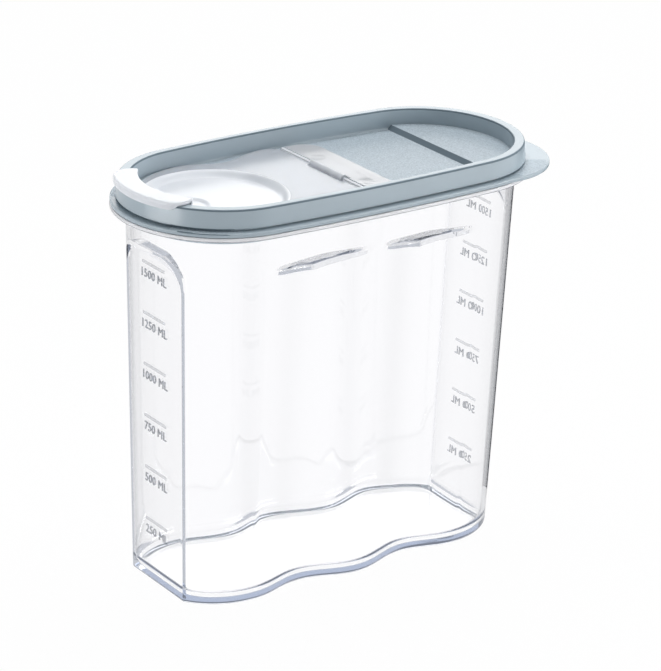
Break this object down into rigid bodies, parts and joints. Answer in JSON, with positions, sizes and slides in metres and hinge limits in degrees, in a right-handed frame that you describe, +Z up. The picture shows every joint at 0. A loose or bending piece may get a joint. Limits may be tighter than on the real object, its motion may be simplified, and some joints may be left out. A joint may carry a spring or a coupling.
{
  "type": "cereal container with flip spout",
  "caption": "Tall narrow clear container for dry food with a press-on lid, whose dished cover flips up on a hinge to open a pouring hole.",
  "frame": {"origin": "centre of the flat base, on the surface it stands on", "axes": "+Z up through the lid, +X towards the pull-tab end, -X towards the pouring end, Y across the narrow way"},
  "size_m": [0.2049, 0.0938, 0.1841],
  "materials": {
    "clear_plastic": "polished clear moulding",
    "blue_grey_plastic": "satin, fine texture on the deck",
    "natural_plastic": "satin, slightly translucent"
  },
  "bodies": {
    "container": {"container_body": "clear_plastic"},
    "lid": {"lid": "blue_grey_plastic", "hinge_plate": "natural_plastic"},
    "cover": {"flip_cover": "natural_plastic"}
  },
  "joints": [
    {"name": "lid_lift", "type": "slide", "parent": "container", "child": "lid", "axis": [0, 0, 1], "range_m": [0, 0.05]},
    {"name": "cover_hinge", "type": "hinge", "parent": "lid", "child": "cover", "pos_m": [0.0016, 0, 0.17453], "axis": [0, 1, 0], "range_deg": [0, 150]}
  ]
}
